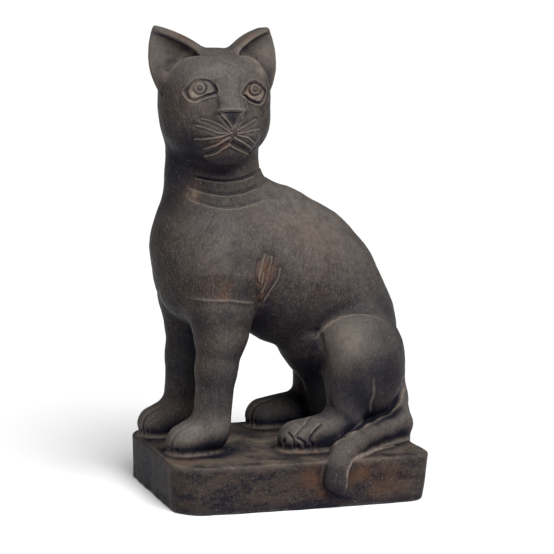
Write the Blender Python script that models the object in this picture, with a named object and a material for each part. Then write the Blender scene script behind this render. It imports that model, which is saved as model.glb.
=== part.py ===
"""Seated cat on its plinth, carved in one block of dark volcanic stone.

Frame: metres, +Z up, origin at the middle of the plinth's underside. The plinth's long side runs along X,
the cat's body faces -X, and its head is turned over its left shoulder to look along -Y.

The figure is a field of distances: smooth unions of round limbs and ellipsoids, worked out in millimetres
of a figure 540 mm high that stands on the plinth's top. A rough union of balls is remeshed, its points are
drawn onto the field, and the carving is cut by the same steps.
"""

import math

import bmesh
import bpy
import numpy as np
from mathutils import Matrix, Vector

# Driving dimensions, in metres
FIGURE_HEIGHT = 0.540  # plinth top to ear tips
PLINTH_LENGTH = 0.337
PLINTH_WIDTH = 0.268
PLINTH_HEIGHT = 0.060
PLINTH_DRAW = 0.001, 0.008  # how far the front and the rear end draw in down to the ground
PLINTH_EDGE = 0.005  # rounding of the top edge
FRONT_CORNERS = 0.040, 0.034  # plan radii, near and far
REAR_CORNERS = 0.030, 0.014
MIDLINE_X, MIDLINE_Y = -0.0045, 0.029  # the cat sits off centre, to leave room for its tail
TAIL_RADIUS = 0.016
FILLET = 0.009  # where the limbs meet the plinth
TAIL_FILLET = 0.006  # where the tail lies on the rump and the plinth
BODY_TRIANGLES, FACE_TRIANGLES = 7000, 2000

MM = FIGURE_HEIGHT / 540.0  # one millimetre of the figure's own scale
STANDS_AT = np.array([MIDLINE_X, MIDLINE_Y, PLINTH_HEIGHT])
SPARE = 0.012  # stone below the ground line, cut off flat at the end
GRID = 0.0034  # spacing of the points before they are thinned
HEAD_AT = np.array([-78.0, -27.0, 443.0])
HEAD_TURN = math.radians(87.5)  # from the body's -X towards -Y
HEAD_TILT = math.radians(1.2)  # its right side up


def soft_union(a, b, k):
    """The smaller of two distances, with a fillet of about k between them."""
    h = np.clip(0.5 + 0.5 * (b - a) / k, 0.0, 1.0)
    return b + (a - b) * h - k * h * (1.0 - h)


def soft_cut(a, b, k):
    """The larger of two distances, with a rounding of about k between them."""
    return -soft_union(-a, -b, k)


def lengths(q):
    return np.sqrt(np.einsum("ij,ij->i", q, q))


def ellipsoid(p, centre, radii, power=2.0):
    """A power above 2 gives it fuller corners."""
    q = np.abs(p - np.asarray(centre)) / radii
    size = np.maximum((q**power).sum(axis=1) ** (1.0 / power), 1e-9)
    slope = lengths((q / size[:, None]) ** (power - 1.0) / radii)
    return (size - 1.0) / slope


def limb(p, stations, k=6.0, flat=1.0):
    """Round cones through stations of (x, y, z, radius); flat under 1 narrows them in y."""
    squash = np.array([1.0, flat, 1.0])
    p = p / squash
    found = None
    for first, last in zip(stations, stations[1:]):
        a, b = np.array(first[:3]) / squash, np.array(last[:3]) / squash
        along = b - a
        rel = p - a
        t = np.clip(rel @ along / (along @ along), 0.0, 1.0)
        rel -= t[:, None] * along
        d = lengths(rel) - first[3] - (last[3] - first[3]) * t
        found = d if found is None else soft_union(found, d, k)
    return found


# The figure's forms, in its own millimetres: x and z as in the frame with z from the plinth's top, y from
# the midline, the left side at -y. Forms with a side are listed for the left and mirrored by the loops.
NECK = [(-74, 0, 400, 60), (-74, 0, 345, 60), (-70, 0, 262, 84), (-70, 0, 229, 82)]
BACK = [
    (0, 0, 249, 87),
    (42, 0, 218, 91),
    (70, 0, 200, 80),
    (86, 0, 166, 80),
    (97, 0, 140, 80),
    (113, 0, 104, 66),
    (122, 0, 50, 60),
]
BELLY = [(-26, 0, 200, 45), (14, 0, 172, 47)]
FRONT_LEG = [
    (-75, -50, 222, 53), (-80, -58, 185, 42), (-80, -60, 152, 33), (-87, -60, 106, 25.5), (-93, -60, 40, 24)
]
FRONT_PAW = [(-98, -60, 26, 26), (-129, -60, 14, 24)]
SHIN = [(80, -78, 92, 25), (80, -80, 34, 25)]
HIP = [(112, -42, 80, 46), (110, -34, 12, 40)]
HIND_FOOT = [(57, -82, 18, 26.5), (14, -83, 12, 25)]
PAW_SPREAD = 1.15  # paws are wider than they are high
THIGH = ((111, -70, 106), (54, 46, 71))
FAR_SHIN = (5.0, 10.0)  # the right hind leg stands this much further back and nearer the middle
FAR_LEG_AHEAD = 7.0  # the right front leg stands this much further forward


def mirrored(stations, side, ahead=0.0):
    return [(x - ahead, y * side, z, r) for x, y, z, r in stations]


def to_figure(points):
    """Metres in the frame to the figure's millimetres."""
    return (points - STANDS_AT) / MM


def to_frame(point):
    """One point of the figure, in millimetres, to metres in the frame."""
    return STANDS_AT + np.array(point) * MM


def gaze():
    """Unit vectors level with the ground: to the head's left, and where it looks."""
    ahead = np.array([-math.cos(HEAD_TURN), -math.sin(HEAD_TURN), 0.0])
    return np.array([-ahead[1], ahead[0], 0.0]), ahead


def head_axes():
    """The head's own axes as rows: across to its left, forward, and up."""
    left, ahead = gaze()
    up = np.array([0.0, 0.0, 1.0])
    cos, sin = math.cos(HEAD_TILT), math.sin(HEAD_TILT)
    return np.stack([cos * left - sin * up, ahead, sin * left + cos * up])


def to_head(q):
    """The figure's millimetres to the head's: u across, w forward, v up."""
    return (q - HEAD_AT) @ head_axes().T


EAR_TIP = np.array([74.0, -20.0, 96.5])
EAR_INNER = np.array([14.0, 20.0, 65.0])
EAR_OUTER = np.array([68.0, -8.0, 12.0])
EAR_BOWS = 190.0, 90.0, 130.0  # radii of the ear's bowed edges: along the skull, outside, and below
EAR_LEANS = 0.5, 6.0  # how far the left and the right ear's tip lean in
EAR_ROUND, EAR_HALF = 7.0, 5.0
EAR_RIM, EAR_DEEP = 6.0, 11.0  # the roll along its inner edge, and the hollow that starts under it
MUZZLE = 3.0  # the nose, mouth and whisker pads sit this far to the head's left
EYES = (  # middle across and up, half length, rise, fall, and the iris's middle: right eye, left eye
    (-32.3, 22.0, 18.2, 11.4, 12.4, -36.3, 22.5),
    (37.0, 20.5, 17.6, 10.3, 15.5, 35.4, 21.0),
)
COLLAR = (345.5, 14.0), (328.3, 19.0), (312.0, 24.0)  # each line's height in front and its rise to the nape
THIGH_ARC = np.array([98.0, 111.0]), np.array([60.5, 63.5])  # middle and radii of the line round it


def folded(h):
    """The head's right side laid over its left, with both ears upright."""
    lean = np.where(h[:, 0] < 0, *EAR_LEANS) * np.clip((h[:, 2] - 40.0) / 56.0, 0.0, 1.2)
    return np.stack([np.abs(h[:, 0]) + lean, h[:, 1], h[:, 2]], axis=1)


def ear_frame():
    """Axes of the ear's own plane: along its inner edge, up it, and out of its hollow."""
    along = EAR_TIP - EAR_INNER
    along /= np.linalg.norm(along)
    out = np.cross(EAR_OUTER - EAR_INNER, along)
    out /= np.linalg.norm(out)
    if out[1] < 0:
        out = -out
    return along, np.cross(out, along), out


def ear_plan(h):
    """Depths inside the ear's three edges, in its plane, and the height over the plane."""
    along, up, out = ear_frame()
    corners = (EAR_INNER, EAR_TIP, EAR_OUTER)
    flat = [np.array([(c - EAR_INNER) @ along, (c - EAR_INNER) @ up]) for c in corners]
    rel = h - EAR_INNER
    spot = np.stack([rel @ along, rel @ up], axis=1)
    middle = sum(flat) / 3.0
    depths = []
    for first, last, bow in zip(flat, flat[1:] + flat[:1], EAR_BOWS):
        edge = last - first
        normal = np.array([-edge[1], edge[0]]) / np.linalg.norm(edge)
        if (middle - first) @ normal < 0:
            normal = -normal
        centre = (first + last) / 2 + normal * math.sqrt(bow**2 - edge @ edge / 4)
        depths.append(bow - lengths(spot - centre))
    return depths, rel @ out


def ear(h):
    """A plate with a domed back; face_carving hollows it in front."""
    (along, outer, below), height = ear_plan(h)
    plan = soft_cut(soft_cut(-along, -outer, 3.0), -below, 3.0)
    half = EAR_HALF + 0.25 * np.clip(-plan, 0.0, 30.0) * (height < 0)
    return soft_cut(plan + EAR_ROUND, np.abs(height) - half, 6.0) - EAR_ROUND


def head(q):
    h = to_head(q)
    skull = ellipsoid(h, (0, -4, 2), (70, 66, 68), 2.6)
    jaw = ellipsoid(h, (0, 8, -28), (64, 66, 46))
    found = soft_union(skull, jaw, 14.0)
    muzzle = h - np.array([MUZZLE, 0.0, 0.0])
    muzzle[:, 0] = np.abs(muzzle[:, 0])
    bridge = limb(muzzle, [(4, 45, 24, 14.5), (4, 72, -8, 14), (3, 76, -25, 9)])
    found = soft_union(found, bridge, 10.0)
    pads = ellipsoid(muzzle, (13, 62, -37), (25, 25, 19))
    found = soft_union(found, pads, 12.0)
    chin = ellipsoid(h, (0, 54, -57), (27, 22, 17))
    found = soft_union(found, chin, 16.0)
    found = soft_union(found, ear(folded(h)), 5.0)
    for middle, level, *_ in EYES:
        found = soft_union(found, ellipsoid(h, (middle, 47, level), (18, 12, 14)), 5.0)
    return found


def figure(q):
    """The cat without its carving."""
    found = limb(q, NECK, k=8.0, flat=0.94)
    found = soft_union(found, limb(q, BACK, k=8.0, flat=0.90), 34.0)
    found = soft_union(found, limb(q, BELLY, flat=0.90), 12.0)
    for side in (1, -1):
        ahead, back, near = (0.0, 0.0, 0.0) if side > 0 else (FAR_LEG_AHEAD, *FAR_SHIN)
        leg = limb(q, mirrored(FRONT_LEG, side, ahead), k=10.0)
        paw = limb(q, mirrored(FRONT_PAW, side, ahead), flat=PAW_SPREAD)
        found = soft_union(found, soft_union(leg, paw, 10.0), 18.0)
        (x, y, z), (thick, wide, high) = THIGH
        beside = q + np.array([0.0, near, 0.0])
        haunch = ellipsoid(beside, (x + 0.6 * back, y * side, z), (thick - 0.4 * back, wide, high))
        haunch = soft_union(haunch, limb(beside, mirrored(SHIN, side, -back)), 12.0)
        haunch = soft_union(haunch, limb(beside, mirrored(HIP, side)), 8.0)
        foot = limb(beside, mirrored(HIND_FOOT, side, -0.9 * back), flat=PAW_SPREAD)
        found = soft_union(found, soft_union(haunch, foot, 10.0), 20.0)
    return soft_union(found, head(q), 12.0)


def near_side(x):
    """The plinth's near long side bows out a little and widens towards the rump."""
    share = x / (PLINTH_LENGTH / 2)
    return PLINTH_WIDTH / 2 + 0.006 * share - 0.004 * share**2


def plinth(points):
    """Distance to the plinth, in metres."""
    x, y, z = points.T
    half_x = PLINTH_LENGTH / 2 - np.where(x < 0, *PLINTH_DRAW) * np.clip(1.0 - z / PLINTH_HEIGHT, 0.0, 1.0)
    half_y = np.where(y < 0, near_side(np.clip(x, -half_x, half_x)), PLINTH_WIDTH / 2)
    radius = np.where(x < 0, np.where(y < 0, *FRONT_CORNERS), np.where(y < 0, *REAR_CORNERS))
    dx, dy = np.abs(x) - half_x + radius, np.abs(y) - half_y + radius
    plan = np.minimum(np.maximum(dx, dy), 0) + np.hypot(np.maximum(dx, 0), np.maximum(dy, 0)) - radius
    above = z - PLINTH_HEIGHT
    a, b = plan + PLINTH_EDGE, above + PLINTH_EDGE
    block = np.minimum(np.maximum(a, b), 0) + np.hypot(np.maximum(a, 0), np.maximum(b, 0)) - PLINTH_EDGE
    return np.maximum(block, -z - SPARE)


RUMP_TAIL = [(153, 0, 125, 1.33), (167, -6, 85, 1.39), (167, -24, 47, 1.26)]  # radii as shares of TAIL_RADIUS


def tail_stations():
    """The tail in metres: round the rump, aslant over the plinth's top and down its near side."""
    r, top = TAIL_RADIUS, PLINTH_HEIGHT
    end, edge = PLINTH_LENGTH / 2, -near_side(0.045)
    on_rump = [(*to_frame((x, y, z)), share * r) for x, y, z, share in RUMP_TAIL]
    return on_rump + [
        (end - 0.012, edge + 0.098, top + 0.021, 1.05 * r),
        (end - 0.044, edge + 0.082, top + 0.016, 1.00 * r),
        (end - 0.071, edge + 0.060, top + 0.0145, 0.95 * r),
        (end - 0.100, edge + 0.030, top + 0.0125, 0.92 * r),
        (end - 0.121, edge + 0.011, top + 0.007, 0.94 * r),
        (end - 0.132, edge, 0.86 * top, 0.96 * r),
        (end - 0.135, edge - 0.002, 0.61 * top, 0.92 * r),
        (end - 0.128, edge, 0.42 * top, 0.50 * r),
        (end - 0.122, edge + 0.002, 0.32 * top, 0.22 * r),
    ]


def tail_bed():
    """Stone left standing under the tail, down to the plinth's top."""
    return [(x, y + 0.3 * r, PLINTH_HEIGHT, r) for x, y, _, r in tail_stations()[3:8]]


def tail(points):
    return soft_union(limb(points, tail_stations(), k=0.008), limb(points, tail_bed(), k=0.008), 0.008)


def form(points):
    """The whole block without its carving, in metres."""
    found = soft_union(figure(to_figure(points)) * MM, plinth(points), FILLET)
    return soft_union(found, tail(points), TAIL_FILLET)


def stroke(a, b, path, width):
    """1 on a path through the plane (a, b), falling to 0 at about twice width from it."""
    found = np.full(len(a), np.inf)
    for (a0, b0), (a1, b1) in zip(path, path[1:]):
        da, db = a1 - a0, b1 - b0
        t = np.clip(((a - a0) * da + (b - b0) * db) / (da * da + db * db), 0.0, 1.0)
        found = np.minimum(found, np.hypot(a - a0 - t * da, b - b0 - t * db))
    return np.exp(-np.square(found / width))


def arc(centre, radii, start, end, steps=12):
    """Points of an ellipse's arc, angles in degrees."""
    return [
        (
            centre[0] + radii[0] * math.cos(math.radians(start + (end - start) * i / steps)),
            centre[1] + radii[1] * math.sin(math.radians(start + (end - start) * i / steps)),
        )
        for i in range(steps + 1)
    ]


def step(value, low, high):
    """0 under low, 1 over high, smooth between."""
    t = np.clip((value - low) / (high - low), 0.0, 1.0)
    return t * t * (3.0 - 2.0 * t)


def face_carving(q):
    """Depth cut into the head, in the figure's millimetres: ear hollows, eyes, nose and mouth."""
    h = to_head(q)
    (along, outer, _), height = ear_plan(folded(h))
    face = EAR_HALF + EAR_ROUND
    hollow = step(along, EAR_RIM, EAR_RIM + 7.0) * np.clip(outer / 32.0, 0.0, 1.0)
    depth = EAR_DEEP * hollow * step(height, face - 9.0, face - 3.0)
    depth *= 1.0 - step(height, face + 2.0, face + 6.0)
    u, w, v = h.T
    front = step(w, 20.0, 40.0)
    for middle, level, half, rise, fall, iris, iris_level in EYES:
        upper = arc((middle, level), (half, rise), 0, 180)
        lower = arc((middle, level), (half, fall), 180, 360)
        depth += front * 3.0 * stroke(u, v, upper + lower[1:], 2.4)
        ring = (np.hypot(u - iris, v - iris_level) - 8.0) / 1.8
        depth += front * 1.8 * np.exp(-np.square(ring))
    across = np.abs(u - MUZZLE)
    nose = [(0, -7), (18.5, -7), (0, -25)]
    inner = step(-np.maximum(v + 7.0, (across * 18.0 - (v + 25.0) * 18.5) / 25.8), 0.0, 4.0)
    depth += front * (2.6 * inner + 1.5 * stroke(across, v, nose, 2.4))
    depth += front * 3.0 * stroke(across, v, [(0, -26), (0, -47), (9, -52.5), (18, -59.5), (28, -62.5)], 2.4)
    return depth + front * 2.2 * stroke(across, v, [(18.6, 14), (18.6, -6)], 2.6)


def collar_carving(q):
    """Two stepped bands round the neck, lowest under the chin and fading on the chest's side."""
    left, ahead = gaze()
    rel = q - np.array([-77.0, 0.0, 0.0])
    turn = np.degrees(np.arctan2(rel @ left, rel @ ahead))
    rise = 1.0 - np.exp(-np.square((np.clip(turn, -60.0, 110.0) - 9.0) / 59.0))
    lines = [q[:, 2] - height - more * rise for height, more in COLLAR]
    shown = step(turn, -44.0, -34.0) * (1.0 - step(turn, 110.0, 145.0))
    depth = sum(1.8 * np.exp(-np.square(line / 3.0)) for line in lines)
    for top, low in zip(lines, lines[1:]):
        share = np.clip(low / np.maximum(low - top, 1.0), 0.0, 1.0)
        depth -= 2.6 * (1.0 - 0.7 * share) * step(low, 0.0, 4.0) * (1.0 - step(top, -5.0, 0.0))
    return depth * shown * (np.abs(q[:, 0] + 50.0) < 110.0)


def limb_carving(q):
    """Thigh outlines, armpit folds, the crease above the forelegs, and the toes."""
    x, y, z = q.T
    depth = np.zeros(len(q))
    for side in (1, -1):
        out = -y * side
        ahead = 0.0 if side > 0 else FAR_LEG_AHEAD
        flank = step(out, 40.0, 60.0)
        middle, radii = THIGH_ARC
        spot = (np.stack([x, z], axis=1) - middle) / radii
        rim = (lengths(spot) - 1.0) * 62.0
        arched = step(spot[:, 1], -0.1, 0.3) * (1.0 - step(spot[:, 0], 0.1, 0.6))
        depth += flank * arched * 4.2 * np.exp(-np.square(rim / np.where(rim < 0, 2.5, 13.0)))
        for fold in ([(-28, 253), (-40, 227), (-34, 197)], [(-17, 252), (-24, 228), (-31, 202)], [(-8, 233), (-28, 192)]):
            depth += flank * 2.0 * stroke(x, z, fold, 3.0)
        depth += step(out, 25.0, 40.0) * 1.8 * stroke(x, z, [(-122 - ahead, 197.5), (-44, 197.5)], 2.8)
        low = step(z, 0.0, 4.0) * (1.0 - step(z, 34.0, 44.0))
        for centre, tip in ((60.0, -153.0 - ahead), (83.0, -12.0)):
            reach = step(x, tip - 6.0, tip) * (1.0 - step(x, tip + 22.0, tip + 38.0))
            for toe in (-1, 0, 1):
                across = (out - centre - 13.0 * toe) / 2.6
                depth += 3.4 * low * reach * np.exp(-np.square(across))
    return depth


def carving(points):
    q = to_figure(points)
    return (face_carving(q) + collar_carving(q) + limb_carving(q)) * MM


def balls():
    """Balls that roughly fill the form: (centre, radii) in metres."""
    found = []

    def fill(stations, scale=1.0):
        """Balls along stations in metres, or in the figure's millimetres with scale MM."""
        for first, last in zip(stations, stations[1:]):
            first, last = np.array(first, float), np.array(last, float)
            steps = max(1, int(np.linalg.norm(last[:3] - first[:3]) / (0.35 * min(first[3], last[3]))))
            for i in range(steps + 1):
                *centre, radius = first + (last - first) * i / steps
                place = np.array(centre) if scale == 1.0 else to_frame(centre)
                found.append((place, np.full(3, radius * scale)))

    fill(NECK, MM)
    fill(NECK[-1:] + BACK[:1], MM)
    fill(BACK, MM)
    for side in (1, -1):
        for stations in (FRONT_LEG, FRONT_PAW, SHIN, HIP, HIND_FOOT):
            fill(mirrored(stations, side), MM)
        (x, y, z), radii = THIGH
        found.append((to_frame((x, y * side, z)), np.array(radii) * MM))
    for centre, radius in (((0, 0, 0), 68), ((0, 4, -26), 58), ((0, 60, -44), 28), ((0, 66, -4), 22)):
        found.append((to_frame(HEAD_AT + np.array(centre) @ head_axes()), np.full(3, radius * MM)))
    for side in (1, -1):
        for i in range(8):
            for j in range(8 - i):
                spot = EAR_TIP * i / 7 + EAR_OUTER * j / 7 + EAR_INNER * (7 - i - j) / 7
                spot = spot * 0.9 + (EAR_TIP + EAR_OUTER + EAR_INNER) / 30
                place = to_frame(HEAD_AT + (spot * np.array([side, 1, 1])) @ head_axes())
                found.append((place, np.full(3, 9.0 * MM)))
    fill(tail_stations())
    fill(tail_bed())
    return found


def rough_block():
    """The balls and a block for the plinth, in one mesh object."""
    bm = bmesh.new()
    for centre, radii in balls():
        place = Matrix.Translation(Vector(centre)) @ Matrix.Diagonal(Vector((*radii, 1.0)))
        bmesh.ops.create_icosphere(bm, subdivisions=2, radius=1.0, matrix=place)
    size = Matrix.Diagonal(Vector((PLINTH_LENGTH, PLINTH_WIDTH, PLINTH_HEIGHT + SPARE, 1.0)))
    place = Matrix.Translation((0, 0, 0.5 * (PLINTH_HEIGHT - SPARE)))
    bmesh.ops.create_cube(bm, size=1.0, matrix=place @ size)
    mesh = bpy.data.meshes.new("cat_statue")
    bm.to_mesh(mesh)
    bm.free()
    block = bpy.data.objects.new("cat_statue", mesh)
    bpy.context.scene.collection.objects.link(block)
    return block


def settle(block):
    """Applies the modifiers that stand on the block."""
    evaluated = block.evaluated_get(bpy.context.evaluated_depsgraph_get())
    mesh = bpy.data.meshes.new_from_object(evaluated)
    block.modifiers.clear()
    old, block.data = block.data, mesh
    bpy.data.meshes.remove(old)


def points_of(mesh):
    flat = np.empty(3 * len(mesh.vertices))
    mesh.vertices.foreach_get("co", flat)
    return flat.reshape(-1, 3)


def draw_onto(mesh, field, rounds, most=0.004):
    """Moves the mesh's points onto the field's zero surface, by Newton steps of at most `most`."""
    p = points_of(mesh)
    h = 0.0003
    for _ in range(rounds):
        value = field(p)
        slope = np.stack([(field(p + h * axis) - value) / h for axis in np.eye(3)], axis=1)
        move = -slope * (value / np.maximum((slope**2).sum(axis=1), 0.2))[:, None]
        p += move * np.minimum(1.0, most / np.maximum(lengths(move), 1e-12))[:, None]
    mesh.vertices.foreach_set("co", p.ravel())
    mesh.update()


def carve(mesh):
    """Sinks the mesh's points along their normals by the carving's depth."""
    p = points_of(mesh)
    normals = np.empty(p.size)
    mesh.vertex_normals.foreach_get("vector", normals)
    p -= normals.reshape(-1, 3) * carving(p)[:, None]
    mesh.vertices.foreach_set("co", p.ravel())
    mesh.update()


def relax(mesh, rounds):
    bm = bmesh.new()
    bm.from_mesh(mesh)
    every_way = {"use_axis_x": True, "use_axis_y": True, "use_axis_z": True}
    for _ in range(rounds):
        bmesh.ops.smooth_vert(bm, verts=bm.verts, factor=0.5, **every_way)
    bm.to_mesh(mesh)
    bm.free()


def remesh(block, size):
    modifier = block.modifiers.new("remesh", "REMESH")
    modifier.mode = "VOXEL"
    modifier.voxel_size = size
    settle(block)
    keep_outer_skin(block.data)


def in_face(mesh):
    """Which of the mesh's points lie in front of the ears, from chin to brow."""
    h = to_head(to_figure(points_of(mesh)))
    return (h[:, 1] > 18.0) & (h[:, 2] > -84.0) & (h[:, 2] < 60.0)


def refine_face(mesh):
    """Halves the spacing of the face's points, for the eyes, nose and mouth."""
    front = in_face(mesh)
    bm = bmesh.new()
    bm.from_mesh(mesh)
    edges = [e for e in bm.edges if front[e.verts[0].index] and front[e.verts[1].index]]
    bmesh.ops.subdivide_edges(bm, edges=edges, cuts=1, use_grid_fill=True)
    bm.to_mesh(mesh)
    bm.free()


def keep_outer_skin(mesh):
    """Drops the closed pockets that a remesh can leave inside."""
    bm = bmesh.new()
    bm.from_mesh(mesh)
    bm.verts.ensure_lookup_table()
    top = max(bm.verts, key=lambda v: v.co.z)
    skin, edge = {top}, [top]
    while edge:
        vert = edge.pop()
        for link in vert.link_edges:
            other = link.other_vert(vert)
            if other not in skin:
                skin.add(other)
                edge.append(other)
    bmesh.ops.delete(bm, geom=[v for v in bm.verts if v not in skin], context="VERTS")
    bm.to_mesh(mesh)
    bm.free()


def thin(block, face, wanted):
    """Thins the face, or else all the rest, to the wanted number of triangles."""
    chosen = in_face(block.data) == face
    block.data.calc_loop_triangles()
    corners = np.empty(3 * len(block.data.loop_triangles), np.int32)
    block.data.loop_triangles.foreach_get("vertices", corners)
    left = ~chosen[corners.reshape(-1, 3)].all(axis=1)
    group = block.vertex_groups.new(name="chosen")
    group.add(np.flatnonzero(chosen).tolist(), 1.0, "REPLACE")
    modifier = block.modifiers.new("thin", "DECIMATE")
    modifier.vertex_group = group.name
    modifier.ratio = (wanted + left.sum()) / len(left)
    settle(block)
    block.vertex_groups.clear()


def cut_flat(mesh):
    """A true flat underside at z = 0."""
    bm = bmesh.new()
    bm.from_mesh(mesh)
    cut = bmesh.ops.bisect_plane(
        bm,
        geom=bm.verts[:] + bm.edges[:] + bm.faces[:],
        dist=1e-6,
        plane_co=(0, 0, 0),
        plane_no=(0, 0, 1),
        clear_inner=True,
    )
    rim = [e for e in cut["geom_cut"] if isinstance(e, bmesh.types.BMEdge)]
    bmesh.ops.edgeloop_fill(bm, edges=rim)
    bmesh.ops.triangulate(bm, faces=bm.faces)
    bmesh.ops.recalc_face_normals(bm, faces=bm.faces)
    bm.to_mesh(mesh)
    bm.free()


def stone():
    material = bpy.data.materials.new("dark volcanic stone")
    material.use_nodes = True
    shader = material.node_tree.nodes["Principled BSDF"]
    shader.inputs["Base Color"].default_value = (0.10, 0.085, 0.078, 1.0)
    shader.inputs["Roughness"].default_value = 0.62
    shader.inputs["Metallic"].default_value = 0.0
    return material


def build():
    for other in list(bpy.data.objects):
        bpy.data.objects.remove(other, do_unlink=True)
    statue = rough_block()
    remesh(statue, 2.0 * GRID)
    draw_onto(statue.data, form, 4, most=0.010)
    relax(statue.data, 2)
    draw_onto(statue.data, form, 1)
    remesh(statue, GRID)
    draw_onto(statue.data, form, 1)
    relax(statue.data, 1)
    refine_face(statue.data)
    draw_onto(statue.data, form, 1)
    carve(statue.data)
    thin(statue, face=False, wanted=BODY_TRIANGLES)
    thin(statue, face=True, wanted=FACE_TRIANGLES)
    cut_flat(statue.data)
    statue.data.shade_smooth()
    statue.data.materials.append(stone())


build()
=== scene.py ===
# Garden statue of a seated cat, carved with its plinth in one block of dark volcanic stone.
# Metres, +Z up, the middle of the plinth's underside at the origin. The cat's body faces -X and its
# head is turned to look along -Y, towards the camera.

import math

import bmesh
import bpy
import numpy as np
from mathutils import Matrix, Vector, noise


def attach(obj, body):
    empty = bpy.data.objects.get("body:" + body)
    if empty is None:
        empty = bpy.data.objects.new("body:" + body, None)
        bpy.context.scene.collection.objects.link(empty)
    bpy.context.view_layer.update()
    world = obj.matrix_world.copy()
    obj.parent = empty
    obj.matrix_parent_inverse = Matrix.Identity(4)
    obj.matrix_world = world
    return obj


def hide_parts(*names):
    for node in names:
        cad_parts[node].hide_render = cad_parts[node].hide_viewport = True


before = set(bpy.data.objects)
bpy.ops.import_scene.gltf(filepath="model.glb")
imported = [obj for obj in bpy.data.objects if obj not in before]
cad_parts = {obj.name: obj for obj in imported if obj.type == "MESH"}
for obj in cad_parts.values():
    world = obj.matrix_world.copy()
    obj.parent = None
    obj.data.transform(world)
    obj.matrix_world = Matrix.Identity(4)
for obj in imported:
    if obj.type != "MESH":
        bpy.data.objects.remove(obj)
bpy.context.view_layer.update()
print("frame loaded")

# Lengths are metres; lists of stations are (x, y, z, radius) in millimetres of a figure 540 mm high,
# with x and y from where it stands and z from the plinth's top. The left side is at -y.
statue = {
    "figureHeight": 0.540,
    "plinth": (0.337, 0.268, 0.060),  # length, width, height
    "plinthDraw": (0.001, 0.008),  # how far the front and the rear end draw in down to the ground
    "plinthEdge": 0.005,
    "plinthFoot": 0.003,  # rounding along the ground
    "plinthFlare": 0.006,  # how much further the near side stands out at the rump than in the middle
    "plinthBow": 0.004,
    "frontCorners": (0.040, 0.034),  # plan radii, near and far
    "rearCorners": (0.030, 0.014),
    "standsAt": (-0.0045, 0.029),
    "tailRadius": 0.016,
    "fillet": 0.009,  # where the limbs meet the plinth
    "tailFillet": 0.006,
    "tailBlend": 0.008,  # how softly its stretches run into each other
    "headAt": (-78.0, -27.0, 443.0),
    "headTurn": 87.5,  # degrees, from the body's -X towards -Y
    "headTilt": 1.2,
    "neck": [(-74, 0, 400, 60), (-74, 0, 345, 60), (-70, 0, 262, 84), (-70, 0, 229, 82)],
    "back": [
        (0, 0, 249, 87),
        (42, 0, 218, 91),
        (70, 0, 200, 80),
        (86, 0, 166, 80),
        (97, 0, 140, 80),
        (113, 0, 104, 66),
        (122, 0, 50, 60),
    ],
    "belly": [(-26, 0, 200, 45), (14, 0, 172, 47)],
    "frontLeg": [
        (-75, -50, 222, 53),
        (-80, -58, 185, 42),
        (-80, -60, 152, 33),
        (-87, -60, 106, 25.5),
        (-93, -60, 40, 24),
    ],
    "frontPaw": [(-98, -60, 26, 26), (-129, -60, 14, 24)],
    "shin": [(80, -78, 92, 25), (80, -80, 34, 25)],
    "hip": [(112, -42, 80, 46), (110, -34, 12, 40)],
    "hindFoot": [(57, -82, 18, 26.5), (14, -83, 12, 25)],
    "pawSpread": 1.15,  # width over height
    "slim": {"neck": 0.94, "back": 0.90, "belly": 0.90},  # the same
    "thigh": ((111, -70, 106), (54, 46, 71)),  # centre, radii
    "farShin": (5.0, 10.0),  # the right hind leg stands this much further back and nearer the middle
    "farLegAhead": 7.0,
    # how softly each part grows out of what is there before it
    "blends": {
        "back": 34.0,
        "belly": 12.0,
        "frontPaw": 10.0,
        "frontLeg": 18.0,
        "shin": 12.0,
        "hip": 8.0,
        "hindFoot": 10.0,
        "hindLeg": 20.0,
        "head": 12.0,
    },
    "roughGrid": 0.0030,  # spacing of the points while the form is found, and when it is carved
    "fineGrid": 0.0016,
    "uneven": (0.00050, 0.00140, 0.00018),  # rasp marks: on the figure, along the ground, and fine ones
    "alongGround": (0.002, 0.030),  # heights between which the coarser ones run out
    "chips": 0.0022,
    "perMetre": (38.0, 110.0, 160.0),  # rasp marks, fine ones, and chips
    "contactDust": (0.003, 0.36, 0.003),  # where cat and plinth meet: how far out, how pale, half width
    "feelers": ((0.008, 0.25), (0.022, 0.35), (0.050, 0.40)),  # how far out free room counts, and its share
    "triangles": 190000,
}
mm = statue["figureHeight"] / 540.0
plinthLength, plinthWidth, plinthHeight = statue["plinth"]
standsAt = np.array([*statue["standsAt"], plinthHeight])


def smoothMin(a, b, k):
    h = np.clip(0.5 + 0.5 * (b - a) / k, 0.0, 1.0)
    return b + (a - b) * h - k * h * (1.0 - h)


def smoothMax(a, b, k):
    return -smoothMin(-a, -b, k)


def lengths(q):
    return np.sqrt(np.einsum("ij,ij->i", q, q))


def ramp(value, low, high):
    t = np.clip((value - low) / (high - low), 0.0, 1.0)
    return t * t * (3.0 - 2.0 * t)


def within(value, rise, fall):
    # 1 between two soft ends and 0 beyond them
    return ramp(value, *rise) * (1.0 - ramp(value, *fall))


def ellipsoid(p, centre, radii, power=2.0):
    q = np.abs(p - np.asarray(centre)) / radii
    size = np.maximum((q**power).sum(axis=1) ** (1.0 / power), 1e-9)
    return (size - 1.0) / lengths((q / size[:, None]) ** (power - 1.0) / radii)


def limb(p, stations, k=6.0, flat=1.0):
    # round cones from station to station; flat under 1 narrows them in y
    squash = np.array([1.0, flat, 1.0])
    p = p / squash
    found = None
    for first, last in zip(stations, stations[1:]):
        a, b = np.array(first[:3]) / squash, np.array(last[:3]) / squash
        along = b - a
        rel = p - a
        t = np.clip(rel @ along / (along @ along), 0.0, 1.0)
        rel -= t[:, None] * along
        d = lengths(rel) - first[3] - (last[3] - first[3]) * t
        found = d if found is None else smoothMin(found, d, k)
    return found


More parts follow.
